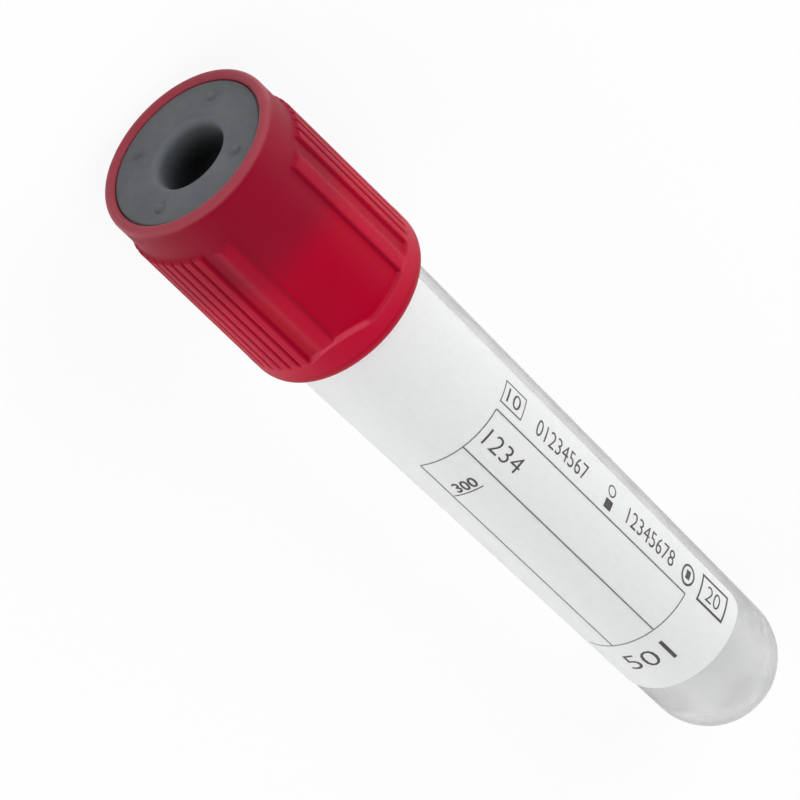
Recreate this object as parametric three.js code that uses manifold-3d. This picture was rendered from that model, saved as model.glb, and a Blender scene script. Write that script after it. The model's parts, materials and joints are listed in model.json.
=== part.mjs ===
// Vacuum blood collection tube with a pull-off closure, lying on its side.
//
// Millimetres, +Z up. The pieces are modelled along the tube's own axis: x = 0 is the plane of the
// cap's top rim and x grows towards the round bottom. An angle round that axis is in degrees, 0 at
// the top (+Z) and growing towards +Y. The last section lays the whole thing on the plane z = 0.

import * as THREE from "three";
import { mergeVertices } from "three/addons/utils/BufferGeometryUtils.js";
import Module from "manifold-3d";

const wasm = await Module();
wasm.setup();

// ---------------------------------------------------------------- driving dimensions

const TUBE = {
  length: 75, // rim to the tip of the round bottom
  rimRadius: 6.5, // outside, at the rim
  taper: 0.53, // outside radius lost between the rim and the round bottom
  wall: 1.0,
  rimRound: 0.3, // rounding of the rim's inner and outer edge
};

const STOPPER = {
  recess: 0.38, // face below the cap's top rim
  headHeight: 6.54, // face to the shoulder that seats on the tube's rim
  collarDrop: 1.25, // face to the top of the wider collar
  collarStep: 0.2, // how far the collar stands out past the face
  collarReach: 0.35, // how far the collar stands out past the tube
  plugLength: 8.8, // shoulder to the lower end
  plugChamfer: 0.8,
  edgeRound: 0.15,
  wellRadius: 2.95,
  wellDepth: 4.6,
  lipRound: 1.0, // rounding of the well's mouth
  septum: 3.6, // rubber left between the well and the hollow
  hollowRadius: 3.2, // at the lower end
  hollowTaper: 0.8, // radius lost towards the septum
};

const PIPS = { count: 4, firstAngle: 31, circle: 5.15, radius: 0.42, height: 0.3 };

const CAP = {
  height: 20.25,
  wall: 0.7, // round the stopper's collar
  rimRound: { along: 0.6, across: 0.45 }, // outer edge of the top rim
  mouthBevel: { along: 0.36, across: 0.3 }, // slope from the top rim in to the mouth
  bandLength: 3.1, // straight band below the top rim
  flare: 0.14, // outside radius gained from the band to the flange
  ribHeight: 0.31,
  ribRamp: 0.45, // length of a rib's sloped upper end
  flangeHeight: 2.35,
  flangeStep: 0.33, // flange above the smooth windows
  flangeRound: { along: 1.0, across: 0.45 }, // rounding of the flange's lower edge
  leadIn: 0.25, // chamfer inside the lower edge
  beadReach: 0.2, // how far the retaining bead reaches under the collar
  beadLength: 0.9,
};

// Angles from the middle of a smooth window. Each grip field has a wide rib at either end, and a row
// of narrow ribs spread evenly between them. Neighbouring narrow ribs meet in shallow grooves.
const GRIP = {
  fields: 2,
  windowMiddle: 9.1, // angle of the first window's middle round the axis
  wideRib: { middle: 32.2, crestHalf: 3.4, footHalf: 5.9, top: 3.7 },
  narrowRib: { first: 51.2, count: 12, crestHalf: 1.3, footHalf: 4.6, top: 3.45 },
  rise: { middle: -27.1, half: 22, height: 0.8, drop: 0.05 }, // swell of the flange's upper edge
};

const LABEL = {
  thickness: 0.1,
  tuck: 0.3, // upper edge, above the cap's lower edge
  tipMargin: 11.3, // lower edge to the tube's tip
  stripWidth: 4.9, // clear strip left between the label's two long edges
  stripEdge: 57.5, // angle of the long edge where the strip begins
  cornerRadius: 1.3,
};

const FIT = {
  plug: 0.06, // plug to bore, so that the closure pulls off
  seat: 0.08, // shoulder to rim
  mouth: 0.06, // stopper face to cap mouth
  pocket: 0.05, // collar to cap
  skirt: 0.35, // tube to the cap's skirt
  label: 0.03, // tube to label
};

const SEGMENTS = 60; // facets round the axis
const COLOURS = { tube: 0xdfe6e8, stopper: 0x5c6164, cap: 0xb01228, label: 0xe8ebeb };

// ---------------------------------------------------------------- places along the axis

const shoulderX = STOPPER.recess + STOPPER.headHeight;
const rimX = shoulderX + FIT.seat;
const tipX = rimX + TUBE.length;
const heelRadius = TUBE.rimRadius - TUBE.taper;
const heelX = tipX - heelRadius; // centre of the round bottom
const flangeX = CAP.height - CAP.flangeHeight;
const ribEndX = flangeX + CAP.flangeHeight / 4; // the ribs run on into the flange

// Outside radius of the tube's straight part at x.
const tubeRadiusAt = (x) => TUBE.rimRadius - (TUBE.taper * (x - rimX)) / (heelX - rimX);

const collarRadius = TUBE.rimRadius + STOPPER.collarReach;
const faceRadius = collarRadius - STOPPER.collarStep;
const bandRadius = collarRadius + FIT.pocket + CAP.wall;
const skirtBore = TUBE.rimRadius + FIT.skirt;

// Outside radius of the cap's smooth parts at x, below the band.
const landRadiusAt = (x) =>
  bandRadius + (CAP.flare * (x - CAP.bandLength)) / (flangeX - CAP.bandLength);
const flangeRadius = landRadiusAt(flangeX) + CAP.flangeStep;
const ribRootRadius = bandRadius - CAP.wall / 2; // the ribs grow from inside the wall

// ---------------------------------------------------------------- geometry helpers

const radians = THREE.MathUtils.degToRad;

// Points [x, radius] on an elliptical arc, from angle start to angle end, both included.
function arc(x, radius, along, across, start, end, steps = 4) {
  return Array.from({ length: steps + 1 }, (_, i) => {
    const angle = radians(start + ((end - start) * i) / steps);
    return [x + along * Math.cos(angle), Math.max(0, radius + across * Math.sin(angle))];
  });
}

function solidOf(geometry) {
  const bare = geometry.clone();
  bare.deleteAttribute("normal");
  bare.deleteAttribute("uv");
  const merged = mergeVertices(bare, 1e-4);
  const vertProperties = new Float32Array(merged.attributes.position.array);
  const triVerts = new Uint32Array(merged.index.array);
  return new wasm.Manifold(new wasm.Mesh({ numProp: 3, vertProperties, triVerts }));
}

function geometryOf(solid) {
  const { vertProperties, triVerts } = solid.getMesh();
  const geometry = new THREE.BufferGeometry();
  geometry.setAttribute("position", new THREE.BufferAttribute(vertProperties, 3));
  geometry.setIndex(new THREE.BufferAttribute(triVerts, 1));
  geometry.computeVertexNormals();
  return geometry;
}

// A profile of [x, radius] points turned about the x axis, with a flat facet at the very bottom.
function turned(profile) {
  const points = profile.map(([x, radius]) => new THREE.Vector2(radius, x));
  const halfFacet = Math.PI / SEGMENTS;
  const lathe = new THREE.LatheGeometry(points, SEGMENTS, halfFacet);
  return lathe.rotateZ(-Math.PI / 2);
}

// A ring's profile closed on itself.
const ring = (profile) => turned([...profile, profile[0]]);

// A flat outline of [y, z] points extruded along x from x0 to x1.
function extrudedAlongX(outline, x0, x1) {
  const shape = new THREE.Shape(outline.map(([y, z]) => new THREE.Vector2(y, z)));
  const geometry = new THREE.ExtrudeGeometry(shape, { depth: x1 - x0, bevelEnabled: false });
  const yzx = new THREE.Matrix4().makeBasis(
    new THREE.Vector3(0, 1, 0),
    new THREE.Vector3(0, 0, 1),
    new THREE.Vector3(1, 0, 0),
  );
  return geometry.applyMatrix4(yzx).translate(x0, 0, 0);
}

// A flat outline of [x, y] points, standing on the axis and extruded outwards at the given angle.
function extrudedOutwards(shape, height, angle) {
  const geometry = new THREE.ExtrudeGeometry(shape, {
    depth: height,
    bevelEnabled: false,
    curveSegments: 6,
  });
  return geometry.rotateX(radians(-angle));
}

function mesh(name, geometry, colour, roughness, more = {}) {
  const material = new THREE.MeshStandardMaterial({ color: colour, roughness, ...more });
  const made = new THREE.Mesh(geometry, material);
  made.name = name;
  return made;
}

// ---------------------------------------------------------------- tube

// One wall of even thickness: a straight tapered bore, a round bottom and a rounded rim.
function tubeGeometry() {
  const boreRadius = TUBE.rimRadius - TUBE.wall;
  const round = TUBE.rimRound;
  return turned([
    ...arc(heelX, 0, heelRadius - TUBE.wall, heelRadius - TUBE.wall, 0, 90, 8),
    ...arc(rimX + round, boreRadius + round, round, round, 270, 180, 3),
    ...arc(rimX + round, TUBE.rimRadius - round, round, round, 180, 90, 3),
    ...arc(heelX, 0, heelRadius, heelRadius, 90, 0, 9),
  ]);
}

// ---------------------------------------------------------------- rubber stopper

// Needle well, face, collar, shoulder, plug and hollow, all in one profile.
function stopperBody() {
  const { recess, edgeRound, lipRound, wellRadius, plugChamfer, hollowRadius } = STOPPER;
  const wellFloorX = recess + STOPPER.wellDepth;
  const collarX = recess + STOPPER.collarDrop;
  const plugEndX = shoulderX + STOPPER.plugLength;
  const plugRadiusAt = (x) => tubeRadiusAt(x) - TUBE.wall - FIT.plug;
  return turned([
    [wellFloorX, 0],
    ...arc(wellFloorX - wellRadius / 2, wellRadius / 2, wellRadius / 2, wellRadius / 2, 0, 90, 3),
    ...arc(recess + lipRound, wellRadius + lipRound, lipRound, lipRound, 270, 180, 4),
    ...arc(recess + edgeRound, faceRadius - edgeRound, edgeRound, edgeRound, 180, 90, 2),
    [collarX - STOPPER.collarStep, faceRadius],
    [collarX, collarRadius],
    [shoulderX, collarRadius],
    [shoulderX, plugRadiusAt(rimX)],
    [plugEndX - plugChamfer, plugRadiusAt(plugEndX)],
    [plugEndX, plugRadiusAt(plugEndX) - plugChamfer / 2],
    [plugEndX, hollowRadius],
    [wellFloorX + STOPPER.septum, hollowRadius - STOPPER.hollowTaper],
    [wellFloorX + STOPPER.septum, 0],
  ]);
}

// Small raised pips on the face, between the well's lip and the edge.
function stopperGeometry() {
  const ball = (PIPS.radius ** 2 + PIPS.height ** 2) / (2 * PIPS.height);
  let solid = solidOf(stopperBody());
  for (let i = 0; i < PIPS.count; i++) {
    const angle = radians(PIPS.firstAngle + (360 * i) / PIPS.count);
    const pip = new THREE.SphereGeometry(ball, 12, 8).translate(
      STOPPER.recess + ball - PIPS.height,
      PIPS.circle * Math.sin(angle),
      PIPS.circle * Math.cos(angle),
    );
    solid = solid.add(solidOf(pip));
  }
  return geometryOf(solid);
}

// ---------------------------------------------------------------- safety cap

// The shell without its ribs: rim, band, smooth flare and flange outside; bevelled mouth, pocket for
// the stopper's collar, retaining bead and skirt bore inside.
function capShell() {
  const { rimRound, mouthBevel, flangeRound, leadIn, beadLength } = CAP;
  const mouth = faceRadius + FIT.mouth;
  const pocket = collarRadius + FIT.pocket;
  const pocketX = STOPPER.recess + STOPPER.collarDrop - FIT.pocket;
  const beadX = shoulderX + FIT.pocket;
  const roundX = CAP.height - flangeRound.along;
  const flangeMiddle = flangeRadius - flangeRound.across;
  const rimMiddle = bandRadius - rimRound.across;
  return ring([
    ...arc(rimRound.along, rimMiddle, rimRound.along, rimRound.across, 180, 90, 4),
    [CAP.bandLength, bandRadius],
    [flangeX, landRadiusAt(flangeX)],
    [flangeX + CAP.flangeStep / 2, flangeRadius],
    ...arc(roundX, flangeMiddle, flangeRound.along, flangeRound.across, 90, 0, 4),
    [CAP.height, skirtBore + leadIn],
    [CAP.height - leadIn, skirtBore],
    [beadX + beadLength, skirtBore],
    [beadX + CAP.beadReach, collarRadius - CAP.beadReach],
    [beadX, pocket],
    [pocketX, pocket],
    [pocketX - STOPPER.collarStep, mouth],
    [mouthBevel.along, mouth],
    [0, mouth + mouthBevel.across],
  ]);
}

// The space one kind of rib may fill: from inside the wall out to the crests, sloped at the top.
function ribEnvelope({ top }) {
  const crestX = top + CAP.ribRamp;
  const slope = CAP.ribRamp / (landRadiusAt(crestX) + CAP.ribHeight - landRadiusAt(top));
  return ring([
    [top - slope * (landRadiusAt(top) - ribRootRadius), ribRootRadius],
    [crestX, landRadiusAt(crestX) + CAP.ribHeight],
    [ribEndX, landRadiusAt(flangeX) + CAP.ribHeight],
    [ribEndX, ribRootRadius],
  ]);
}

// One rib with sloping sides, taller than it ends up: the envelope trims it.
function ribBlank(middle, { crestHalf, footHalf }) {
  const slope = (footHalf - crestHalf) / CAP.ribHeight;
  const crest = landRadiusAt(flangeX) + CAP.ribHeight;
  const above = CAP.ribHeight / 5;
  const corners = [
    [middle - crestHalf - slope * (crest - ribRootRadius), ribRootRadius],
    [middle - crestHalf + slope * above, crest + above],
    [middle + crestHalf - slope * above, crest + above],
    [middle + crestHalf + slope * (crest - ribRootRadius), ribRootRadius],
  ];
  const outline = corners.map(([angle, radius]) => [
    radius * Math.sin(radians(angle)),
    radius * Math.cos(radians(angle)),
  ]);
  return extrudedAlongX(outline, 0, CAP.height);
}

// Middle angles of both kinds of rib.
function ribMiddles() {
  const { windowMiddle, wideRib, narrowRib, fields } = GRIP;
  const sector = 360 / fields;
  const pitch = (sector - 2 * narrowRib.first) / (narrowRib.count - 1);
  const wide = [];
  const narrow = [];
  for (let field = 0; field < fields; field++) {
    const start = windowMiddle + field * sector;
    wide.push(start + wideRib.middle, start + sector - wideRib.middle);
    for (let i = 0; i < narrowRib.count; i++) narrow.push(start + narrowRib.first + i * pitch);
  }
  return { wide, narrow };
}

function ribs(middles, form) {
  const blanks = middles.map((middle) => solidOf(ribBlank(middle, form)));
  return wasm.Manifold.union(blanks).intersect(solidOf(ribEnvelope(form)));
}

// A low arched swell of the flange's upper edge at one corner of a window.
function flangeRise(windowMiddle) {
  const { middle, half, height, drop } = GRIP.rise;
  const halfWidth = landRadiusAt(flangeX) * Math.sin(radians(half));
  const radius = (halfWidth ** 2 + height ** 2) / (2 * height);
  const reach = Math.asin(halfWidth / radius);
  const shape = new THREE.Shape();
  shape.absarc(flangeX - height + radius, 0, radius, Math.PI - reach, Math.PI + reach, false);
  shape.lineTo(ribEndX, -halfWidth);
  shape.lineTo(ribEndX, halfWidth);
  const outwards = solidOf(extrudedOutwards(shape, 2 * flangeRadius, windowMiddle + middle));
  const skin = ring([
    [flangeX - 2 * height, ribRootRadius],
    [flangeX - 2 * height, flangeRadius - drop],
    [CAP.height, flangeRadius - drop],
    [CAP.height, ribRootRadius],
  ]);
  return outwards.intersect(solidOf(skin));
}

function capGeometry() {
  const { wide, narrow } = ribMiddles();
  const rises = Array.from({ length: GRIP.fields }, (_, i) =>
    flangeRise(GRIP.windowMiddle + (360 * i) / GRIP.fields),
  );
  const parts = [solidOf(capShell()), ribs(wide, GRIP.wideRib), ribs(narrow, GRIP.narrowRib)];
  return geometryOf(wasm.Manifold.union([...parts, ...rises]));
}

// ---------------------------------------------------------------- label

// A thin sleeve with a straight strip cut out of it along its whole length, its corners rounded.
function labelGeometry() {
  const startX = CAP.height - LABEL.tuck;
  const endX = tipX - LABEL.tipMargin;
  const inner = (x) => tubeRadiusAt(x) + FIT.label;
  const outer = (x) => inner(x) + LABEL.thickness;
  const sleeve = ring([
    [startX, outer(startX)],
    [endX, outer(endX)],
    [endX, inner(endX)],
    [startX, inner(startX)],
  ]);

  const middleRadius = tubeRadiusAt((startX + endX) / 2);
  const halfAngle = LABEL.stripWidth / 2 / middleRadius;
  const half = middleRadius * Math.sin(halfAngle);
  const corner = LABEL.cornerRadius;
  const beyond = 1;
  const shape = new THREE.Shape();
  shape.moveTo(startX - beyond, -half - corner);
  shape.lineTo(startX, -half - corner);
  shape.absarc(startX + corner, -half - corner, corner, Math.PI, Math.PI / 2, true);
  shape.lineTo(endX - corner, -half);
  shape.absarc(endX - corner, -half - corner, corner, Math.PI / 2, 0, true);
  shape.lineTo(endX + beyond, -half - corner);
  shape.lineTo(endX + beyond, half + corner);
  shape.lineTo(endX, half + corner);
  shape.absarc(endX - corner, half + corner, corner, 0, -Math.PI / 2, true);
  shape.lineTo(startX + corner, half);
  shape.absarc(startX + corner, half + corner, corner, -Math.PI / 2, -Math.PI, true);
  shape.lineTo(startX - beyond, half + corner);
  const stripMiddle = LABEL.stripEdge + THREE.MathUtils.radToDeg(halfAngle);
  const strip = extrudedOutwards(shape, 2 * TUBE.rimRadius, stripMiddle);
  return geometryOf(solidOf(sleeve).subtract(solidOf(strip)));
}

// ---------------------------------------------------------------- assembly

const closure = new THREE.Group();
closure.add(
  mesh("rubber_stopper", stopperGeometry(), COLOURS.stopper, 0.75),
  mesh("safety_cap", capGeometry(), COLOURS.cap, 0.35),
);

const labelledTube = new THREE.Group();
labelledTube.add(
  mesh("tube", tubeGeometry(), COLOURS.tube, 0.1, { transparent: true, opacity: 0.4 }),
  mesh("label", labelGeometry(), COLOURS.label, 0.55),
);

// The axis tilts until the flange and the round bottom both touch the same plane.
const seatX = CAP.height - CAP.flangeRound.along;
const span = heelX - seatX;
const tilt = Math.acos(heelRadius / Math.hypot(flangeRadius, span)) - Math.atan2(span, flangeRadius);

const lying = new THREE.Group();
lying.add(closure, labelledTube);
lying.rotation.y = tilt;

const bloodCollectionTube = new THREE.Group();
bloodCollectionTube.add(lying);

// The origin is under the middle of the thing, in the plane that it lies on.
bloodCollectionTube.updateMatrixWorld(true);
const bounds = new THREE.Box3().setFromObject(lying, true);
const middle = bounds.getCenter(new THREE.Vector3());
lying.position.set(-middle.x, -middle.y, -bounds.min.z);

export default bloodCollectionTube;
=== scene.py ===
import json
import bmesh
import bpy
import numpy as np
from mathutils import Matrix


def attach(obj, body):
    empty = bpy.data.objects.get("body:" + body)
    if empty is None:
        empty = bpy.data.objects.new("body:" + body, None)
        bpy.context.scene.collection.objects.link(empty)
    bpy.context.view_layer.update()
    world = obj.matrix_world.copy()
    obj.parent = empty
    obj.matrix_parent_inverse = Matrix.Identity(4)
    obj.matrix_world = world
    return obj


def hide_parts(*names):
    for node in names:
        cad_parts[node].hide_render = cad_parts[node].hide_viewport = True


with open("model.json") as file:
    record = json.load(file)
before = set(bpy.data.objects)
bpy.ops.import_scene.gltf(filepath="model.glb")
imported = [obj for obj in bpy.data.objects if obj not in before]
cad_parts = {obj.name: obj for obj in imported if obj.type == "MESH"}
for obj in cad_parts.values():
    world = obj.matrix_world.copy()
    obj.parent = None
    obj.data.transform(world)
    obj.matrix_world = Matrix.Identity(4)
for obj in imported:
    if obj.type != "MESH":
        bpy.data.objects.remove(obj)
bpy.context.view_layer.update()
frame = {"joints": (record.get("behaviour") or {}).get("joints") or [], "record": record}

mm = 0.001

# The closure's joint gives the tube's own axis, and a mount gives a point on the cap's top rim.
# Everything below is in millimetres along that axis: x from the cap's top rim towards the round
# bottom, r outwards, and turn round the axis in degrees, 0 at the top and growing towards +Y.
pull = next(joint for joint in frame["joints"] if joint["name"] == "closure_pull")
rimMount = next(mount for mount in frame["record"]["mounts"] if mount["name"] == "cap_top_rim")
rimMountRadius = 7.07  # from the axis to that point
along = -np.array(pull["axis"]) / np.linalg.norm(pull["axis"])
across = np.array([0.0, 1.0, 0.0])
upward = np.cross(along, across)
capCentre = np.array(rimMount["pos_m"]) - rimMountRadius * mm * upward

# How deep the pieces sit in each other, and the gaps between them.
seat = {
    "recess": 0.38,  # stopper's face below the cap's rim
    "headHeight": 6.54,  # stopper's face to its shoulder
    "rimGap": 0.08,  # shoulder to the tube's rim
    "plugGap": 0.06,  # plug to the bore
    "mouthGap": 0.06,  # stopper's face to the cap's mouth
    "pocketGap": 0.05,  # stopper's collar to the cap's pocket
    "skirtGap": 0.35,  # tube's rim to the cap's skirt
    "labelGap": 0.03,  # label to the tube
}
shoulderX = seat["recess"] + seat["headHeight"]


# A point is the cap's centre plus x along the axis, plus r times the sine of its turn across and
# r times the cosine of its turn upward.
def onAxis(x, r, turn):
    x, r, turn = np.broadcast_arrays(x, r, np.radians(turn))
    side = np.sin(turn)[..., None] * across + np.cos(turn)[..., None] * upward
    return capCentre + mm * (x[..., None] * along + r[..., None] * side)


# Points [x, r] on an ellipse's arc: centre plus the half widths times the angle's cosine and sine.
def arc(x, r, alongHalf, acrossHalf, start, end, steps):
    angle = np.radians(np.linspace(start, end, steps + 1))
    return np.column_stack([x + alongHalf * np.cos(angle), r + acrossHalf * np.sin(angle)])


# Points [x, r] at even steps on a straight line, without its last one.
def line(first, last, steps):
    return np.linspace(first, last, steps + 1)[:-1]


# 3s^2 - 2s^3, where s runs from 0 at low to 1 at high.
def smoothStep(value, low, high):
    s = np.clip((value - low) / (high - low), 0, 1)
    return s * s * (3 - 2 * s)


# Quads between neighbouring rows and columns of a grid of points, wrapped round where asked.
# A point's number is its row times the number of columns, plus its column.
def gridQuads(rows, columns, wrapRows, wrapColumns):
    row = np.arange(rows if wrapRows else rows - 1)[:, None]
    column = np.arange(columns if wrapColumns else columns - 1)[None, :]
    nextRow, nextColumn = (row + 1) % rows, (column + 1) % columns
    corners = [row * columns + column, row * columns + nextColumn,
               nextRow * columns + nextColumn, nextRow * columns + column]
    return np.stack(np.broadcast_arrays(*corners), -1).reshape(-1, 4)


# A closed mesh. Its volume is a sixth of the sum of each corner's dot product with the cross
# product of the next two, and where that is negative the faces are turned round. Each shade is
# one number per point for the material to read.
def closedPiece(name, points, quads, sharpAngle, **shades):
    a, b, c, d = (points[quads[:, i]] for i in range(4))
    middle = points.mean(0)
    volume = sum(np.einsum("ij,ij", p - middle, np.cross(q - middle, s - middle))
                 for p, q, s in ((a, b, c), (a, c, d)))
    faces = quads if volume > 0 else quads[:, ::-1]
    mesh = bpy.data.meshes.new(name)
    mesh.from_pydata(points.tolist(), [], faces.tolist())
    for shade, values in shades.items():
        mesh.attributes.new(shade, "FLOAT", "POINT").data.foreach_set("value", values.ravel())
    poles = bmesh.new()
    poles.from_mesh(mesh)
    bmesh.ops.remove_doubles(poles, verts=poles.verts, dist=1e-7)
    poles.to_mesh(mesh)
    poles.free()
    return finished(name, mesh, sharpAngle)


# Smooth faces, with an edge wherever two of them meet at more than the sharp angle.
def finished(name, mesh, sharpAngle=35):
    mesh.shade_smooth()
    mesh.set_sharp_from_angle(angle=np.radians(sharpAngle))
    piece = bpy.data.objects.new(name, mesh)
    bpy.context.scene.collection.objects.link(piece)
    return piece


def joinFrame(piece, material, body, slot, *nodes):
    piece.data.materials.append(material)
    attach(piece, body)
    if nodes:
        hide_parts(*nodes)
    print("made", piece.name, len(piece.data.polygons), "faces")


def newMaterial(name):
    material = bpy.data.materials.new(name)
    material.use_nodes = True
    tree = material.node_tree
    return material, tree, tree.nodes["Principled BSDF"].inputs


def noiseOf(tree, scale, detail, stretch=(1, 1, 1)):
    place = tree.nodes.new("ShaderNodeTexCoord")
    mapping = tree.nodes.new("ShaderNodeMapping")
    mapping.inputs["Scale"].default_value = stretch
    noise = tree.nodes.new("ShaderNodeTexNoise")
    noise.inputs["Scale"].default_value = scale
    noise.inputs["Detail"].default_value = detail
    tree.links.new(place.outputs["Object"], mapping.inputs["Vector"])
    tree.links.new(mapping.outputs["Vector"], noise.inputs["Vector"])
    return noise.outputs["Fac"]


# From first at low to second at high, evenly or as a smooth step.
def ramped(tree, source, low, high, first, second, kind="SMOOTHSTEP"):
    change = tree.nodes.new("ShaderNodeMapRange")
    change.interpolation_type = kind
    for socket, value in zip(("From Min", "From Max", "To Min", "To Max"),
                             (low, high, first, second)):
        change.inputs[socket].default_value = value
    tree.links.new(source, change.inputs["Value"])
    return change.outputs["Result"]


# Clouds of noise from first to second. Most of a noise lies between 0.3 and 0.7.
def clouds(tree, scale, detail, first=0, second=1, stretch=(1, 1, 1)):
    return ramped(tree, noiseOf(tree, scale, detail, stretch), 0.3, 0.7, first, second, "LINEAR")


def grain(tree, scale, detail, strength, height, stretch=(1, 1, 1)):
    bump = tree.nodes.new("ShaderNodeBump")
    bump.inputs["Strength"].default_value = strength
    bump.inputs["Distance"].default_value = height
    tree.links.new(noiseOf(tree, scale, detail, stretch), bump.inputs["Height"])
    return bump.outputs["Normal"]


# A mix of two colours, each of them a socket or three plain values.
def mixed(tree, source, first, second):
    mix = tree.nodes.new("ShaderNodeMix")
    mix.data_type = "RGBA"
    tree.links.new(source, mix.inputs["Factor"])
    for socket, colour in (("A", first), ("B", second)):
        if isinstance(colour, tuple):
            mix.inputs[socket].default_value = (*colour, 1)
        else:
            tree.links.new(colour, mix.inputs[socket])
    return mix.outputs["Result"]


# One step of arithmetic on two values, each of them a socket or a plain number.
def worked(tree, operation, first, second):
    step = tree.nodes.new("ShaderNodeMath")
    step.operation = operation
    for socket, value in zip(step.inputs, (first, second)):
        if isinstance(value, (int, float)):
            socket.default_value = value
        else:
            tree.links.new(value, socket)
    return step.outputs[0]


def shadeOf(tree, name):
    attribute = tree.nodes.new("ShaderNodeAttribute")
    attribute.attribute_name = name
    return attribute.outputs["Fac"]


# x of a surface point: its dot product with the axis, less the cap's centre's.
def alongAxis(tree):
    place = tree.nodes.new("ShaderNodeTexCoord")
    dot = tree.nodes.new("ShaderNodeVectorMath")
    dot.operation = "DOT_PRODUCT"
    dot.inputs[1].default_value = along / mm
    tree.links.new(place.outputs["Object"], dot.inputs[0])
    return worked(tree, "SUBTRACT", dot.outputs["Value"], float(capCentre @ along) / mm)


tube = {
    "length": 75.0,
    "rimRadius": 6.5,
    "heelRadius": 5.97,  # outside, where the round bottom starts
    "wall": 1.0,
    "rimRound": 0.3,
    "gateDepth": 0.15,  # dimple that the moulding gate leaves in the bottom
    "gateRadius": 0.8,
    "columns": 192,
}
rimX = shoulderX + seat["rimGap"]
tipX = rimX + tube["length"]
heelX = tipX - tube["heelRadius"]

pet = {
    "bend": 1.575,  # refractive index
    "body": (0.90, 0.903, 0.907),
    "tipGrey": (0.72, 0.72, 0.73),
    "tipGreyReach": (0.26, 0.20),  # from the tip, where the grey starts and where it is full
    "rimClearness": 0.55,
    "rimReach": (0.1, 0.4),  # from the rim, over which its haze fades
    "frosting": (0.11, 0.21),  # roughness of the wall and of the round bottom
    "frostingReach": (66, 74),  # x over which one becomes the other
    "cloud": (400, 3, 0.8, 1.25),  # scale and detail of the noise, least and most
    "ripple": (90, 2, 0.03, 0.0004),  # scale, detail, strength and height
    "rippleStretch": (0.2, 1, 1),
}


# Clear along its length, slightly frosted where the round bottom was moulded, greyer at the tip and
# hazy on the end face of the rim.
def clearPet():
    material, tree, shader = newMaterial("clear PET")
    shader["IOR"].default_value = pet["bend"]
    place = alongAxis(tree)
    tipGrey = ramped(tree, place, *(tipX - reach for reach in pet["tipGreyReach"]), 0, 1)
    tree.links.new(mixed(tree, tipGrey, pet["body"], pet["tipGrey"]), shader["Base Color"])
    rim = ramped(tree, place, *(rimX + reach for reach in pet["rimReach"]), pet["rimClearness"], 1)
    tree.links.new(rim, shader["Transmission Weight"])
    frosting = ramped(tree, place, *pet["frostingReach"], *pet["frosting"])
    roughness = worked(tree, "MULTIPLY", clouds(tree, *pet["cloud"]), frosting)
    tree.links.new(roughness, shader["Roughness"])
    tree.links.new(grain(tree, *pet["ripple"], pet["rippleStretch"]), shader["Normal"])
    return material


# The outside narrows evenly from the rim to the start of the round bottom.
def tubeRadiusAt(x):
    share = (x - rimX) / (heelX - rimX)
    return tube["rimRadius"] + (tube["heelRadius"] - tube["rimRadius"]) * share


# One closed profile turned round the axis: a half sphere inside, the tapered bore, a rounded rim,
# the tapered outside and a half sphere. The gate's dimple is its depth times e to the minus square
# of the distance from the axis, as a share of its radius.
def makeTube():
    wall, rimRound, heel = tube["wall"], tube["rimRound"], tube["heelRadius"]
    bore = heel - wall
    inner, outer = tube["rimRadius"] - wall, tube["rimRadius"]
    bottom = arc(heelX, 0, heel, heel, 90, 0, 60)
    bottom[:, 0] -= tube["gateDepth"] * np.exp(-(bottom[:, 1] / tube["gateRadius"])**2)
    profile = np.concatenate([
        arc(heelX, 0, bore, bore, 0, 90, 40)[:-1],
        line([heelX, bore], [rimX + rimRound, inner], 60),
        arc(rimX + rimRound, inner + rimRound, rimRound, rimRound, 270, 180, 8),
        arc(rimX + rimRound, outer - rimRound, rimRound, rimRound, 180, 90, 8)[:-1],
        line([rimX + rimRound, outer], [heelX, heel], 60),
        bottom,
    ])
    turn = np.arange(tube["columns"]) * 360 / tube["columns"]
    points = onAxis(profile[:, :1], np.abs(profile[:, 1:]), turn[None, :]).reshape(-1, 3)
    quads = gridQuads(len(profile), tube["columns"], False, True)
    piece = closedPiece("clear_tube", points, quads, 60)
    joinFrame(piece, clearPet(), "tube", "clear_plastic", "tube")


stopper = {
    "collarReach": 0.35,  # past the tube's rim
    "collarStep": 0.2,
    "collarDrop": 1.25,
    "edgeRound": 0.15,
    "cornerRound": 0.2,
    "wellRadius": 2.95,
    "wellDepth": 4.6,
    "wellRound": 1.0,
    "lipRound": 1.0,
    "plugLength": 8.8,
    "plugChamfer": 0.8,
    "septum": 3.6,  # left between the well and the hollow
    "hollowRadius": 3.2,
    "hollowTaper": 0.8,
    "hollowRound": 1.0,
    "pips": 4,
    "firstPip": 31.0,
    "pipCircle": 5.15,
    "pipRadius": 0.42,
    "pipHeight": 0.36,
    "columns": 360,
}
collarRadius = tube["rimRadius"] + stopper["collarReach"]
faceRadius = collarRadius - stopper["collarStep"]

rubber = {
    "face": ((0.098, 0.107, 0.116), (0.122, 0.131, 0.140)),
    "cloud": (300, 6),  # scale and detail of the noise between those two
    # A painted highlight on the well's lip, and the depths over which it lies:
    "lip": (0.138, 0.149, 0.160),
    "lipHighlightDepth": (0.04, 0.25, 0.3, 0.9),  # where it starts, is full, still is and ends
    # Painted shade down the well, and the depths over which it darkens:
    "paintedWellShade": (0.028, 0.030, 0.032),
    "paintedShadeDepth": (0.3, 3.2),
    "roughness": (1500, 3, 0.62, 0.8),  # scale and detail of the noise, least and most
    "grain": (4200, 4, 0.25, 0.0001),  # scale, detail, strength and height
}
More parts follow.
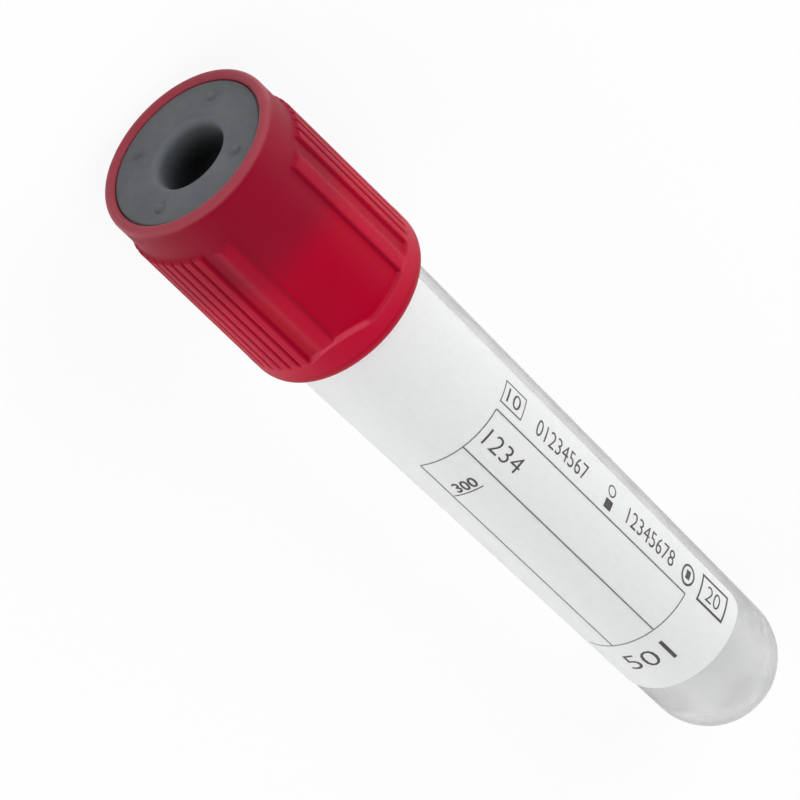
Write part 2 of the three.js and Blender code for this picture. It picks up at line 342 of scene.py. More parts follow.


# Cloudy grey, with a painted highlight on the well's lip and painted shade darkening it down the
# well.
def greyRubber():
    material, tree, shader = newMaterial("grey butyl rubber")
    depth = shadeOf(tree, "depth")
    start, full, still, end = rubber["lipHighlightDepth"]
    # Mask of the painted highlight on the well's lip.
    lip = worked(tree, "MULTIPLY", ramped(tree, depth, start, full, 0, 1),
                 ramped(tree, depth, still, end, 1, 0))
    face = mixed(tree, clouds(tree, *rubber["cloud"]), *rubber["face"])
    face = mixed(tree, lip, face, rubber["lip"])
    # Painted shade darkens the rubber down the well.
    paintedWellShade = ramped(tree, depth, *rubber["paintedShadeDepth"], 0, 1)
    tree.links.new(mixed(tree, paintedWellShade, face, rubber["paintedWellShade"]), shader["Base Color"])
    tree.links.new(clouds(tree, *rubber["roughness"]), shader["Roughness"])
    tree.links.new(grain(tree, *rubber["grain"]), shader["Normal"])
    return material


# Height of the face's pips: a pip's height times the root of one less the square of the distance
# from its centre, as a share of its radius. That distance is a triangle's third side: the root of
# the squares of r and of the pips' circle, less twice their product times the turn's cosine.
def pipHeightAt(r, turn):
    height = np.zeros(np.broadcast(r, turn).shape)
    for pip in range(stopper["pips"]):
        gap = np.radians(turn - stopper["firstPip"] - 360 * pip / stopper["pips"])
        away = np.sqrt(r**2 + stopper["pipCircle"]**2
                       - 2 * r * stopper["pipCircle"] * np.cos(gap))
        share = np.clip(away / stopper["pipRadius"], 0, 1)
        height += stopper["pipHeight"] * np.sqrt(1 - share**2)
    return height


# Well, lip, face, collar, shoulder, plug and hollow in one profile turned round the axis. The
# pips then stand out of its face.
def makeStopper():
    recess, lip, edge = seat["recess"], stopper["lipRound"], stopper["edgeRound"]
    soft, chamfer = stopper["cornerRound"], stopper["plugChamfer"]
    well, wellRound = stopper["wellRadius"], stopper["wellRound"]
    hollow, hollowRound = stopper["hollowRadius"], stopper["hollowRound"]
    hollowTop = hollow - stopper["hollowTaper"]
    floorX = recess + stopper["wellDepth"]
    collarX = recess + stopper["collarDrop"]
    endX = shoulderX + stopper["plugLength"]
    hollowX = floorX + stopper["septum"]
    plugTop = tubeRadiusAt(rimX) - tube["wall"] - seat["plugGap"]
    plugEnd = tubeRadiusAt(endX) - tube["wall"] - seat["plugGap"]
    profile = np.concatenate([
        line([floorX, 0], [floorX, well - wellRound], 6),
        arc(floorX - wellRound, well - wellRound, wellRound, wellRound, 0, 90, 8)[:-1],
        line([floorX - wellRound, well], [recess + lip, well], 10),
        arc(recess + lip, well + lip, lip, lip, 270, 180, 12)[:-1],
        line([recess, well + lip], [recess, faceRadius - edge], 44),
        arc(recess + edge, faceRadius - edge, edge, edge, 180, 90, 5),
        [[collarX - stopper["collarStep"], faceRadius]],
        arc(collarX + soft / 2, collarRadius - soft / 2, soft / 2, soft / 2, 180, 90, 4),
        line([collarX + soft, collarRadius], [shoulderX - soft, collarRadius], 8),
        arc(shoulderX - soft, collarRadius - soft, soft, soft, 90, 0, 4),
        [[shoulderX, plugTop + soft]],
        arc(shoulderX + soft, plugTop + soft, soft, soft, 180, 270, 4),
        line([shoulderX + 2 * soft, plugTop], [endX - chamfer, plugEnd], 10),
        arc(endX - chamfer, plugEnd - chamfer / 2, chamfer, chamfer / 2, 90, 0, 6),
        arc(endX - soft, hollow + 2 * soft, soft, soft, 0, -90, 4),
        line([endX - 2 * soft, hollow + soft / 2], [hollowX + hollowRound, hollowTop], 10),
        arc(hollowX + hollowRound, hollowTop - hollowRound, hollowRound, hollowRound, 90, 180, 6),
        [[hollowX, 0]],
    ])
    turn = np.arange(stopper["columns"])[None, :] * 360 / stopper["columns"]
    x, r = profile[:, :1], profile[:, 1:]
    onFace = np.isclose(x, recess)
    depth = np.where((r < well + lip) & (x <= floorX), x - recess, 0) + 0 * turn
    points = onAxis(x - np.where(onFace, pipHeightAt(r, turn), 0), r, turn).reshape(-1, 3)
    quads = gridQuads(len(profile), stopper["columns"], False, True)
    piece = closedPiece("grey_stopper", points, quads, 40, depth=depth)
    joinFrame(piece, greyRubber(), "closure", "grey_rubber", "rubber_stopper")


cap = {
    "height": 20.25,
    "wall": 0.7,
    "rimRound": (0.6, 0.45),  # along and across
    "mouthBevel": (0.36, 0.3),
    "mouthBulge": 0.03,
    "bandLength": 3.1,
    "flare": 0.14,
    "ribRamp": 0.45,
    "ribHeight": 0.31,
    "flangeHeight": 2.35,
    "flangeStep": 0.33,
    "flangeRamp": (-0.05, 0.10),  # where the step starts and ends, from the flange's edge
    "flangeRound": (1.0, 0.45),
    "leadIn": 0.25,
    "beadReach": 0.2,
    "beadLength": 0.9,
}
grip = {
    "fields": 2,
    "windowMiddle": 9.1,  # turn of the first smooth window's middle
    # Half widths in degrees of turn, of the crest and of the foot towards and away from a window,
    # and how much painted shade darkens those flanks.
    "wideRib": {"middle": 32.2, "crestHalf": 3.4, "foot": (5.9, 10.4), "top": 3.7,
                "paintedShadeOnFlanks": (0.6, 0)},
    "narrowRib": {"first": 51.2, "count": 12, "crestHalf": 1.9, "foot": (4.8, 4.8), "top": 3.45,
                  "paintedShadeOnFlanks": (0.4, 0.4)},
    "rise": {"middle": -27.1, "half": 22.0, "height": 0.8},  # swell of the flange's upper edge
}
bandRadius = collarRadius + seat["pocketGap"] + cap["wall"]
flangeX = cap["height"] - cap["flangeHeight"]

red = {
    # Two tones each: painted shade over the rubber and painted light over the tube.
    "paintedShadeOverRubber": ((0.243, 0.0035, 0.020), (0.271, 0.0045, 0.023)),
    "paintedLightOverTube": ((0.380, 0.0004, 0.018), (0.408, 0.0006, 0.021)),
    "cloud": (160, 3),  # scale and detail of the noise between each two
    "paintedShadeFades": (6.5, 11.0),  # x over which painted shade gives way to painted light
    "ribLiftsPaintedShade": 0.5,  # how far a rib's full height does the same
    # Paler red painted on ribs and flange as light:
    "thickPaintedLight": (0.515, 0.008, 0.040),
    "thickLightShare": (0.1, 0.55),  # how much of that painted light a rib has at the first x and at the second
    "thickLightReach": (6.0, 14.0),
    # Painted shade in the ribs' flanks:
    "paintedFlankShade": (0.175, 0.0002, 0.009),
    # A painted highlight along the flange's edge:
    "paintedEdgeHighlight": (0.60, 0.05, 0.088),
    "edgeHighlightBand": (0.03, 0.15),  # its middle below the flange's edge, and its half width
    "edgeHighlightLeast": 0.35,
    "edgeHighlightSwell": 0.3,  # swell of the edge from which the painted highlight is strongest
    # A painted sheen, paler and greyer, on the top edge:
    "paintedRimSheen": (0.335, 0.052, 0.072),
    "paintedRimSheenReach": (0.3, 0.75),
    "roughness": (0.24, 0.45),  # of the glossier top rim and of the rest
    "roughnessReach": (0.4, 1.2),
    "gloss": 0.13,
    "grain": (2600, 3, 0.12, 0.0001),  # scale, detail, strength and height
}


# Red plastic with painted shade near the top, where it lies over the grey stopper, giving way to
# painted light over the bright tube below. A rib's height lifts that painted shade, and ribs and
# flange are painted paler towards the flange as light. Painted shade darkens the ribs' flanks, a
# painted highlight runs along the flange's edge, and a painted sheen makes the top edge paler and
# greyer.
def redPolyethylene():
    material, tree, shader = newMaterial("red polyethylene")
    cloud = clouds(tree, *red["cloud"])
    place = alongAxis(tree)
    thickPaintedLight = shadeOf(tree, "thickPaintedLight")
    # Painted shade over the rubber gives way to painted light down the cap and on the ribs.
    paintedLightShare = worked(tree, "MAXIMUM", worked(tree, "MULTIPLY", thickPaintedLight, red["ribLiftsPaintedShade"]),
                     ramped(tree, place, *red["paintedShadeFades"], 0, 1))
    body = mixed(tree, paintedLightShare, mixed(tree, cloud, *red["paintedShadeOverRubber"]),
                 mixed(tree, cloud, *red["paintedLightOverTube"]))
    # Paler painted light on ribs and flange, more of it towards the flange.
    paintedPaler = ramped(tree, place, *red["thickLightReach"], *red["thickLightShare"])
    body = mixed(tree, worked(tree, "MULTIPLY", thickPaintedLight, paintedPaler), body, red["thickPaintedLight"])
    # Painted shade darkens the ribs' flanks.
    body = mixed(tree, shadeOf(tree, "paintedFlankShade"), body, red["paintedFlankShade"])
    # Painted highlight along the flange's edge.
    body = mixed(tree, shadeOf(tree, "paintedEdgeHighlight"), body, red["paintedEdgeHighlight"])
    # Painted sheen on the top edge.
    paintedRimSheen = ramped(tree, place, *red["paintedRimSheenReach"], 0, 1)
    tree.links.new(mixed(tree, paintedRimSheen, red["paintedRimSheen"], body), shader["Base Color"])
    roughness = ramped(tree, place, *red["roughnessReach"], *red["roughness"])
    tree.links.new(roughness, shader["Roughness"])
    shader["Specular IOR Level"].default_value = red["gloss"]
    tree.links.new(grain(tree, *red["grain"]), shader["Normal"])
    return material


# Straight band, then an even flare to the flange.
def landRadiusAt(x):
    share = np.clip((x - cap["bandLength"]) / (flangeX - cap["bandLength"]), 0, 1)
    return bandRadius + cap["flare"] * share


# Middle turns of one kind of rib: two wide ones beside each window, and a row of narrow ones
# spread evenly between them.
def ribMiddles(form):
    sector = 360 / grip["fields"]
    starts = grip["windowMiddle"] + sector * np.arange(grip["fields"])[:, None]
    if form is grip["wideRib"]:
        steps = np.array([form["middle"], sector - form["middle"]])
    else:
        steps = np.linspace(form["first"], sector - form["first"], form["count"])
    return (starts + steps).ravel()


# Signed turn from the nearest of the given middles, between minus and plus 180.
def turnFrom(turn, middle):
    return (turn - middle + 180) % 360 - 180


# How high a rib stands, from 1 on a crest easing to 0 at its foot, and easing in below its top.
# Painted shade darkens its flanks most halfway down, by 4 times the height times what it lacks to 1.
# Every second rib is a mirror image, so that the second foot is the one away from the window.
def ribsAt(x, turn):
    height = np.zeros(np.broadcast(x, turn).shape)
    paintedShadeOnFlanks = np.zeros_like(height)
    for form in (grip["wideRib"], grip["narrowRib"]):
        ramp = smoothStep(x, form["top"], form["top"] + cap["ribRamp"])
        for number, middle in enumerate(ribMiddles(form)):
            outward = turnFrom(turn, middle) * (-1)**number
            foot = np.where(outward < 0, *form["foot"])
            share = 1 - smoothStep(np.abs(outward), form["crestHalf"], foot)
            height = np.maximum(height, ramp * share)
            # Painted shade on the flanks, strongest halfway down.
            paintedShadeThisSide = np.where(outward < 0, *form["paintedShadeOnFlanks"])
            paintedShadeOnFlanks = np.maximum(paintedShadeOnFlanks, 4 * ramp * share * (1 - share) * paintedShadeThisSide)
    return height, paintedShadeOnFlanks


# How much the flange's upper edge swells up at one corner of each window: a parabola over turn.
def swellAt(turn):
    swell = np.zeros_like(turn)
    for field in range(grip["fields"]):
        middle = grip["windowMiddle"] + field * 360 / grip["fields"] + grip["rise"]["middle"]
        swell = swell + np.clip(1 - (turnFrom(turn, middle) / grip["rise"]["half"])**2, 0, 1)
    return swell


# Spacing of the grid of points that the cap is made of.
capGrid = {
    "plainStep": 1.5,  # degrees between columns away from the ribs
    "leastStep": 0.15,  # degrees that neighbouring columns keep apart
    "edgeMargin": 0.2,  # how far the closer rows run on past the flange's edge
    "boreStart": 0.01,  # past the lead-in, where the bore's even rows are counted from
}


# Turns of the grid's columns: close together on the ribs' flanks and spread out elsewhere.
def capColumns():
    turns, smooth = [], np.arange(0, 360, capGrid["plainStep"])
    for form in (grip["wideRib"], grip["narrowRib"]):
        low = form["crestHalf"]
        for number, middle in enumerate(ribMiddles(form)):
            turns += [middle + np.linspace(-low, low, 6)[1:-1]]
            for side, foot in zip((-1, 1), form["foot"]):
                turns += [middle + side * (-1)**number * np.linspace(low, foot, 8)]
            smooth = smooth[np.abs(turnFrom(smooth, middle)) > max(form["foot"])]
    turns = np.unique(np.round(np.concatenate([*turns, smooth]) % 360, 3))
    return turns[np.append(np.diff(turns) > capGrid["leastStep"], True)]


# Places of the grid's rows on the outside: close together at the ribs' tops and the flange's edge.
def capRows():
    ribTop, ribFull = grip["narrowRib"]["top"], grip["wideRib"]["top"] + cap["ribRamp"]
    margin = capGrid["edgeMargin"]
    riseTop = flangeX - grip["rise"]["height"] - margin
    return np.unique(np.concatenate([
        np.linspace(cap["rimRound"][0], ribTop, 8),
        np.linspace(ribTop, ribFull, 15),
        np.linspace(ribFull, riseTop, 22),
        np.linspace(riseTop, flangeX + margin, 26),
        [cap["height"] - cap["flangeRound"][0]],
    ]))


# The outside is the land plus the higher of the rib and the flange. Its shades say how thick the
# plastic is, which sets painted light, how much painted shade darkens the ribs' flanks, and how
# strong the painted highlight along the flange's edge is: e to the minus square of the distance from
# it, as a share of a half width, and most where the edge swells.
def capOutside(x, turn):
    swell = swellAt(turn)
    start = flangeX - grip["rise"]["height"] * swell
    ribShare, paintedFlankShade = ribsAt(x, turn)
    flangeShare = smoothStep(x, *(start + ramp for ramp in cap["flangeRamp"]))
    raised = np.maximum(cap["ribHeight"] * ribShare, cap["flangeStep"] * flangeShare)
    middle, half = red["edgeHighlightBand"]
    least = red["edgeHighlightLeast"]
    paintedEdgeHighlight = np.exp(-((x - start - middle) / half)**2)
    shades = {
        "thickPaintedLight": raised / cap["flangeStep"],
        "paintedFlankShade": paintedFlankShade * (1 - flangeShare),
        "paintedEdgeHighlight": paintedEdgeHighlight * (least + (1 - least) * smoothStep(swell, 0, red["edgeHighlightSwell"])),
    }
    return landRadiusAt(x) + raised, shades


# One closed profile for each column: the mouth's slope, which bulges by a sine's half wave, the
# rim's arc, the outside, then round the lower edge, up the bore, over the bead and through the
# pocket to the mouth.
def makeCap():
    mouth = faceRadius + seat["mouthGap"]
    pocket = collarRadius + seat["pocketGap"]
    skirt = tube["rimRadius"] + seat["skirtGap"]
    pocketX = seat["recess"] + stopper["collarDrop"] - seat["pocketGap"]
    beadX = shoulderX + seat["pocketGap"]
    flangeRadius = landRadiusAt(flangeX) + cap["flangeStep"]
    (rimAlong, rimAcross), (bevelAlong, bevelAcross) = cap["rimRound"], cap["mouthBevel"]
    roundAlong, roundAcross = cap["flangeRound"]
    height, leadIn, beadLength = cap["height"], cap["leadIn"], cap["beadLength"]

    share = np.linspace(0, 1, 7)
    bulge = cap["mouthBulge"] * np.sin(np.pi * share)
    top = np.concatenate([
        np.column_stack([bevelAlong * (1 - share) - bulge, mouth + bevelAcross * share]),
        arc(rimAlong, bandRadius - rimAcross, rimAlong, rimAcross, 180, 90, 10)[:-1],
    ])
    below = np.concatenate([
        arc(height - roundAlong, flangeRadius - roundAcross, roundAlong, roundAcross, 90, 0, 12)[1:],
        [[height, skirt + leadIn], [height - leadIn, skirt]],
        line([height - leadIn - capGrid["boreStart"], skirt], [beadX + beadLength, skirt], 10)[1:],
        arc(beadX + beadLength / 2, skirt, beadLength / 2, cap["beadReach"], 0, -180, 8),
        [[beadX, pocket], [pocketX, pocket], [pocketX - stopper["collarStep"], mouth]],
    ])
    turn = capColumns()[None, :]
    x = capRows()[:, None]
    outside, shades = capOutside(x, turn)
    gridX = np.concatenate([part + 0 * turn for part in (top[:, :1], x, below[:, :1])])
    gridR = np.concatenate([part + 0 * turn for part in (top[:, 1:], outside, below[:, 1:])])
    for name, outer in shades.items():
        shades[name] = np.zeros(gridX.shape)
        shades[name][len(top):len(top) + len(x)] = outer
    points = onAxis(gridX, gridR, turn).reshape(-1, 3)
    quads = gridQuads(*gridX.shape, True, True)
    piece = closedPiece("red_cap", points, quads, 60, **shades)
    joinFrame(piece, redPolyethylene(), "closure", "red_plastic", "safety_cap")


label = {
    "thickness": 0.1,
    "tuck": 0.3,  # how far it starts inside the cap
    "tipMargin": 11.3,
    "stripWidth": 4.9,  # clear strip between its long edges
    "stripEdge": 57.5,  # turn of the long edge where the clear strip begins
    "cornerRadius": 1.3,
    "columns": 240,
    "rows": 60,
}
labelStart = cap["height"] - label["tuck"]
labelEnd = tipX - label["tipMargin"]
stripAngle = np.degrees(label["stripWidth"] / tubeRadiusAt((labelStart + labelEnd) / 2))

paper = {
    "tones": ((0.895, 0.91, 0.91), (0.93, 0.94, 0.94)),
    "fibres": (2500, 5),  # scale and detail of the noise between those two
    "fibreStretch": (0.4, 1, 1),
    "throughShare": 0.4,  # how much of the light goes into the paper
    "throughColours": (1, 1, 1),
    "throughReach": 0.0005,  # metres
    "roughness": (700, 3, 0.45, 0.6),  # scale and detail of the noise, least and most
    "grain": (3500, 4, 0.08, 0.00005),  # scale, detail, strength and height
}


# Coated white paper with faint fibres along the tube.
def labelPaper():
    material, tree, shader = newMaterial("coated label paper")
    shader["Subsurface Weight"].default_value = paper["throughShare"]
    shader["Subsurface Radius"].default_value = paper["throughColours"]
    shader["Subsurface Scale"].default_value = paper["throughReach"]
    fibres = clouds(tree, *paper["fibres"], stretch=paper["fibreStretch"])
    tree.links.new(mixed(tree, fibres, *paper["tones"]), shader["Base Color"])
    tree.links.new(clouds(tree, *paper["roughness"]), shader["Roughness"])
    tree.links.new(grain(tree, *paper["grain"]), shader["Normal"])
    return material


# The label's outside is the tube's, plus its gap and its thickness.
def labelRadiusAt(x):
    return tubeRadiusAt(x) + seat["labelGap"] + label["thickness"]


# A sheet wrapped backwards from one side of the clear strip to the other. Near a long edge its
# ends draw in by a corner's circle: radius less the root of radius squared less distance squared.
def makeLabel():
    wrap, radius = 360 - stripAngle, label["cornerRadius"]
    edge = (1 - np.cos(np.linspace(0, np.pi / 2, 10))) * radius
    edgeTurn = np.degrees(edge / tube["rimRadius"])
    plain = np.linspace(edgeTurn[-1], wrap - edgeTurn[-1], label["columns"])[1:-1]
    turned = np.concatenate([edgeTurn, plain, wrap - edgeTurn[::-1]])
    inFrom = np.radians(np.minimum(turned, wrap - turned)) * tube["rimRadius"]
    drawn = radius - np.sqrt(radius**2 - np.clip(radius - inFrom, 0, None)**2)
    share = np.linspace(0, 1, label["rows"])[:, None]
    x = (labelStart + drawn) * (1 - share) + (labelEnd - drawn) * share
    turn = (label["stripEdge"] - turned)[None, :]
    outside = onAxis(x, labelRadiusAt(x), turn)
    inside = onAxis(x, labelRadiusAt(x) - label["thickness"], turn)
    rows, columns = x.shape
    points = np.concatenate([outside.reshape(-1, 3), inside.reshape(-1, 3)])
    front = gridQuads(rows, columns, False, False)
    back = front[:, ::-1] + rows * columns
    number = np.arange(rows * columns).reshape(rows, columns)
    rim = np.concatenate([number[0, :-1], number[:-1, -1], number[-1, :0:-1], number[:0:-1, 0]])
    rimNext = np.roll(rim, -1)
    sides = np.column_stack([rimNext, rim, rim + rows * columns, rimNext + rows * columns])
    piece = closedPiece("paper_label", points, np.concatenate([front, back, sides]), 50)
    joinFrame(piece, labelPaper(), "tube", "label_paper", "label")


ink = {
    "film": 0.012,  # thickness
    "stripWidth": 0.3,
    "ruling": ((0.10, 0.10, 0.10), (0.22, 0.22, 0.22)),  # full and thin
    "black": ((0.045, 0.042, 0.038), (0.12, 0.11, 0.10)),
    "cloud": (6000, 4),  # scale and detail of the noise between those two
    "roughness": 0.55,
}


# Ink that covers the paper a little unevenly.
def printingInk(name, tones):
    material, tree, shader = newMaterial(name)
    tree.links.new(mixed(tree, clouds(tree, *ink["cloud"]), *tones), shader["Base Color"])
    shader["Roughness"].default_value = ink["roughness"]
    return material


# Marks on the label. Each is drawn flat, u along the tube and v round it in millimetres, v growing
# with the turn.
class FlatPrint:
    def __init__(self):
        self.sheet = bmesh.new()

    def block(self, u0, u1, v0, v1):
        corners = [(u0, v0), (u1, v0), (u1, v1), (u0, v1)]
        self.sheet.faces.new([self.sheet.verts.new((u, v, 0)) for u, v in corners])

    def box(self, u0, u1, v0, v1, width):
        self.block(u0, u0 + width, v0, v1)
        self.block(u1 - width, u1, v0, v1)
        self.block(u0 + width, u1 - width, v0, v0 + width)
        self.block(u0 + width, u1 - width, v1 - width, v1)

    # Centre plus radius times cosine and sine, for an outer and an inner circle.
    def ring(self, u, v, outer, inner, steps=32):
        angle = np.arange(steps) * 2 * np.pi / steps
        circles = [[self.sheet.verts.new((u + r * c, v + r * s, 0))
                    for c, s in zip(np.cos(angle), np.sin(angle))] for r in (outer, inner)]
        for i in range(steps):
            j = (i + 1) % steps
            self.sheet.faces.new([circles[0][i], circles[0][j], circles[1][j], circles[1][i]])

    # Digits scaled to fill the given length and height. Turned ones read round the tube, with
    # their tops towards the cap.
    def digits(self, words, u0, u1, v0, v1, weight, turned=False):
        curve = bpy.data.curves.new("digits", "FONT")
        curve.body, curve.offset, curve.resolution_u = words, weight, 3
        drawn = bpy.data.objects.new("digits", curve)
        flat = bpy.data.meshes.new_from_object(drawn)
        points = np.empty(len(flat.vertices) * 3)
        flat.vertices.foreach_get("co", points)
        points = points.reshape(-1, 3)
        if turned:
            points = points[:, [1, 0, 2]] * [-1, 1, 1]
        low, high = points.min(0)[:2], points.max(0)[:2]
        points[:, :2] = (points[:, :2] - low) / (high - low)
        points[:, :2] = [u0, v0] + points[:, :2] * [u1 - u0, v1 - v0]
        flat.vertices.foreach_set("co", points.ravel())
        self.sheet.from_mesh(flat)
        bpy.data.objects.remove(drawn)
        bpy.data.curves.remove(curve)
        bpy.data.meshes.remove(flat)

    # The drawing is given the film's thickness, cut into narrow strips and bent round the label:
    # turn is v over radius.
    def wrapped(self, name, material):
        sheet = self.sheet
        bmesh.ops.recalc_face_normals(sheet, faces=sheet.faces)
        for face in sheet.faces:
            if face.normal.z < 0:
                face.normal_flip()
        grown = bmesh.ops.extrude_face_region(sheet, geom=sheet.faces[:], use_keep_orig=True)
        raised = [item for item in grown["geom"] if isinstance(item, bmesh.types.BMVert)]
        bmesh.ops.translate(sheet, verts=raised, vec=(0, 0, ink["film"]))
        v = [vert.co.y for vert in sheet.verts]
        for cut in np.arange(min(v) + ink["stripWidth"], max(v), ink["stripWidth"]):
            everything = sheet.verts[:] + sheet.edges[:] + sheet.faces[:]
            bmesh.ops.bisect_plane(sheet, geom=everything, dist=1e-6,
                                   plane_co=(0, cut, 0), plane_no=(0, 1, 0))
        mesh = bpy.data.meshes.new(name)
        sheet.to_mesh(mesh)
        sheet.free()
        points = np.empty(len(mesh.vertices) * 3)
        mesh.vertices.foreach_get("co", points)
        u, v, height = points.reshape(-1, 3).T
        radius = labelRadiusAt(u)
        bent = onAxis(u, radius + height, np.degrees(v / radius))
        mesh.vertices.foreach_set("co", bent.ravel())
        mesh.update()
        joinFrame(finished(name, mesh), material, "tube", "black_ink")


# Length round the label at the middle of the tube, for a turn in degrees.
def roundLabel(turn):
    return np.radians(turn) * labelRadiusAt((labelStart + labelEnd) / 2)


# A place's start and end along the tube, and its lower and upper turn as lengths round the label.
def placeOf(start, end, low, high):
    return start, end, roundLabel(low), roundLabel(high)


panel = {
    "start": 34.5,
    "end": 63.5,
    "rules": (22.5, -14.2, -51.3),  # turns of the rules along the tube
    "tail": -75.0,  # the last cross rule runs on to here
    "width": 0.12,  # of the rules
}


def makeRuledPanel(material):
    flat = FlatPrint()
    start, end, width = panel["start"], panel["end"], panel["width"]
    rules = [roundLabel(turn) for turn in panel["rules"]]
    flat.block(start, start + width, rules[-1], rules[0])
    flat.block(end - width, end, roundLabel(panel["tail"]), rules[0])
    for v in rules:
        flat.block(start + width, end - width, v - width / 2, v + width / 2)
    flat.wrapped("label_rules", material)


numbers = {
    "rows": [  # digits, place and weight
        ("01234567", (39.5, 47.0, 30, 43), -0.006),
        ("12345678", (53.3, 60.6, 30, 43), -0.006),
        ("1234", (35.4, 40.3, -3.2, 10.0), -0.01),
    ],
}


def makeNumbers(material):
    flat = FlatPrint()
    for digits, place, weight in numbers["rows"]:
        flat.digits(digits, *placeOf(*place), weight)
    flat.wrapped("label_numbers", material)


boxedNumbers = {
    "boxes": [  # place and line of the box, then the digits in it, their place and weight
        ((34.5, 37.5, 29, 47), 0.1, "10", (35.1, 36.9, 32.5, 43.5), -0.005),
        ((64.9, 69.0, 25.5, 48.3), 0.2, "20", (65.9, 68.0, 30.5, 43), -0.01),
    ],
}


def makeBoxedNumbers(material):
    flat = FlatPrint()
    for box, width, digits, place, weight in boxedNumbers["boxes"]:
        flat.box(*placeOf(*box), width)
        flat.digits(digits, *placeOf(*place), weight)
    flat.wrapped("label_boxes", material)


marks = {
    "rings": [  # middle, its turn and the two radii, then the place of the bar beside it
        ((50.6, 42, 0.55, 0.42), (50.1, 51.1, 27, 34.5)),
        ((62.9, 36, 0.95, 0.75), (62.6, 63.2, 32.5, 39.5)),
    ],
    "stroke": (39.2, 39.32, -50, -25),
    "digits": ("300", (37.7, 39.0, -44.5, -26), 0.02),
}


def makeMarks(material):
    flat = FlatPrint()
    for (middle, turn, outer, inner), bar in marks["rings"]:
        flat.ring(middle, roundLabel(turn), outer, inner)
        flat.block(*placeOf(*bar))
    flat.block(*placeOf(*marks["stroke"]))
    digits, place, weight = marks["digits"]
    flat.digits(digits, *placeOf(*place), weight, turned=True)
    flat.wrapped("label_marks", material)


sizeNumber = {
    "rows": [  # digits, place and weight
        ("50", (65.2, 67.4, -54.5, -27), -0.008),
        ("1", (65.0, 67.6, -19, -16), -0.01),
    ],
}


def makeSizeNumber(material):
    flat = FlatPrint()
    for digits, place, weight in sizeNumber["rows"]:
        flat.digits(digits, *placeOf(*place), weight, turned=True)
    flat.wrapped("label_size_number", material)


studio = {
    "floorSize": 3.0,
    "floorShade": (0.92, 0.92, 0.92),
    "floorRoughness": 0.9,
    "backdropShare": 0.9,  # how much of the floor's look is plain backdrop white
    "throughShare": 0.5,  # the same, seen through clear plastic
    "skyHeights": (0.2, 0.62),  # sines of the heights where it starts and ends to darken
    "skyStrengths": (1.0, 0.02),
    "skySides": (-0.8, 0.4),  # the same from the cap's side, where it is darker, to the other
    "capSideShare": 0.45,
    "lamps": [
        # name, place in metres, size in metres, power in watts
        ("key", (-0.20, 0.60, 0.40), (0.7, 0.5), 3.7),
        ("fill", (-0.25, -0.60, 0.45), (0.7, 0.5), 2.3),
        ("top", (0.00, -0.15, 0.80), (0.6, 0.6), 2.9),
    ],
}
shot = {
    "lens": 189.0,
    "sensor": 36.0,
    "place": (-178.305, 0.0, 259.107),  # along the axis, across it and upward, in millimetres
    "aim": (31.731, -2.371, 0.0),
    "roll": 134.54,  # degrees
    "clip": (0.01, 10),  # nearest and farthest that shows, in metres
}


# A matt floor that keeps the object's shadow, mixed with plain white for the camera and for what
# is seen through plastic.
def makeFloor():
    half = studio["floorSize"] / 2
    corners = [(-half, -half, 0), (half, -half, 0), (half, half, 0), (-half, half, 0)]
    mesh = bpy.data.meshes.new("floor")
    mesh.from_pydata(corners, [], [(0, 1, 2, 3)])
    floor = bpy.data.objects.new("floor", mesh)
    bpy.context.scene.collection.objects.link(floor)
    material, tree, shader = newMaterial("pale floor")
    shader["Base Color"].default_value = (*studio["floorShade"], 1)
    shader["Roughness"].default_value = studio["floorRoughness"]
    shader["Specular IOR Level"].default_value = 0.0
    glow = tree.nodes.new("ShaderNodeEmission")
    glow.inputs["Strength"].default_value = 1.0
    path = tree.nodes.new("ShaderNodeLightPath")
    direct = worked(tree, "MULTIPLY", path.outputs["Is Camera Ray"], studio["backdropShare"])
    through = worked(tree, "MULTIPLY", path.outputs["Is Transmission Ray"], studio["throughShare"])
    blend = tree.nodes.new("ShaderNodeMixShader")
    tree.links.new(worked(tree, "MAXIMUM", direct, through), blend.inputs["Fac"])
    tree.links.new(tree.nodes["Principled BSDF"].outputs["BSDF"], blend.inputs[1])
    tree.links.new(glow.outputs["Emission"], blend.inputs[2])
    tree.links.new(blend.outputs["Shader"], tree.nodes["Material Output"].inputs["Surface"])
    mesh.materials.append(material)


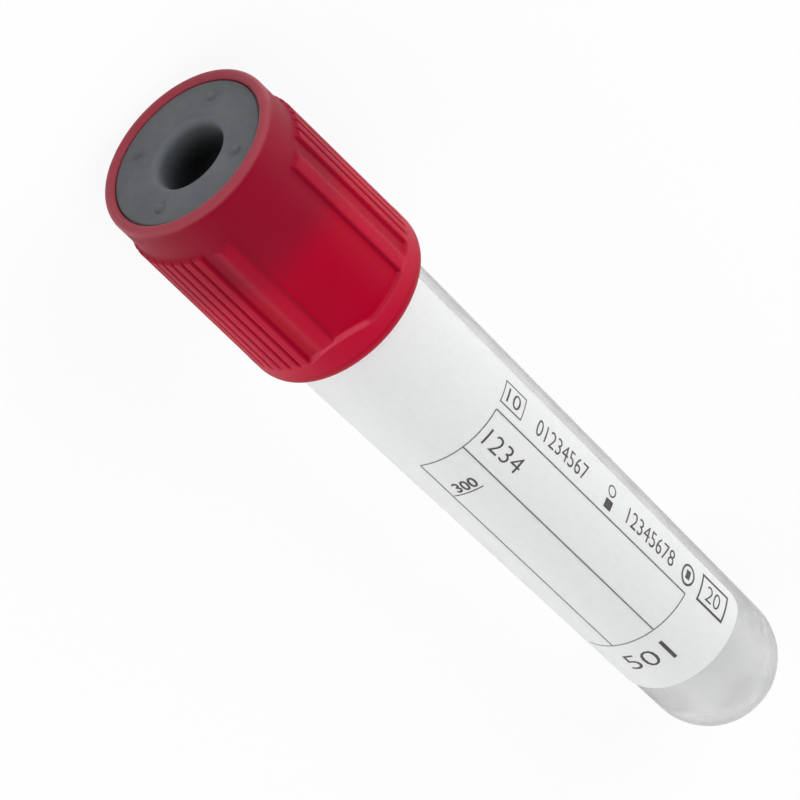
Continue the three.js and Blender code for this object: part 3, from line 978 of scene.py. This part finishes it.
# A sky that lights from near the horizon. Seen directly or through plastic it is plain white.
def makeSky():
    world = bpy.data.worlds.new("studio sky")
    bpy.context.scene.world = world
    world.use_nodes = True
    tree = world.node_tree
    background = tree.nodes["Background"].inputs
    background["Color"].default_value = (1, 1, 1, 1)
    direction = tree.nodes.new("ShaderNodeTexCoord")
    split = tree.nodes.new("ShaderNodeSeparateXYZ")
    tree.links.new(direction.outputs["Generated"], split.inputs["Vector"])
    height = ramped(tree, split.outputs["Z"], *studio["skyHeights"], *studio["skyStrengths"])
    side = ramped(tree, split.outputs["X"], *studio["skySides"], studio["capSideShare"], 1)
    path = tree.nodes.new("ShaderNodeLightPath")
    seen = worked(tree, "MAXIMUM", path.outputs["Is Camera Ray"],
                  path.outputs["Is Transmission Ray"])
    lit = worked(tree, "MULTIPLY", height, side)
    tree.links.new(worked(tree, "MAXIMUM", lit, seen), background["Strength"])


# Soft lamps that face the object and show in no reflection.
def makeLamps():
    for name, place, size, power in studio["lamps"]:
        light = bpy.data.lights.new(name, "AREA")
        light.shape = "RECTANGLE"
        light.size, light.size_y = size
        light.energy = power
        lamp = bpy.data.objects.new(name, light)
        lamp.visible_glossy = lamp.visible_transmission = False
        bpy.context.scene.collection.objects.link(lamp)
        back = np.array(place) / np.linalg.norm(place)
        side = np.cross([0, 0, 1], back)
        side = side / np.linalg.norm(side)
        turn = np.column_stack([side, np.cross(back, side), back])
        lamp.matrix_world = Matrix.Translation(place) @ Matrix(turn.tolist()).to_4x4()


# The camera looks from its place to its aim, and is then rolled about that line.
def makeCamera():
    place, aim = (capCentre + mm * (x * along + y * across + z * upward)
                  for x, y, z in (shot["place"], shot["aim"]))
    forward = (aim - place) / np.linalg.norm(aim - place)
    right = np.cross(forward, upward)
    right = right / np.linalg.norm(right)
    above = np.cross(right, forward)
    roll = np.radians(shot["roll"])
    side = np.cos(roll) * right + np.sin(roll) * above
    top = np.cos(roll) * above - np.sin(roll) * right
    lens = bpy.data.cameras.new("camera")
    lens.lens, lens.sensor_width = shot["lens"], shot["sensor"]
    lens.clip_start, lens.clip_end = shot["clip"]
    camera = bpy.data.objects.new("camera", lens)
    bpy.context.scene.collection.objects.link(camera)
    turn = Matrix(np.column_stack([side, top, -forward]).tolist()).to_4x4()
    camera.matrix_world = Matrix.Translation(place.tolist()) @ turn
    bpy.context.scene.camera = camera


bpy.context.scene.view_settings.view_transform = "Standard"
makeCamera()
makeFloor()
makeSky()
makeLamps()
print("stage and light ready")

makeTube()
makeStopper()
makeCap()
makeLabel()
print("tube, stopper, cap and label ready")

rulingInk = printingInk("grey ruling ink", ink["ruling"])
blackInk = printingInk("black printing ink", ink["black"])
makeRuledPanel(rulingInk)
makeNumbers(blackInk)
makeBoxedNumbers(blackInk)
makeMarks(blackInk)
makeSizeNumber(blackInk)
print("print ready")
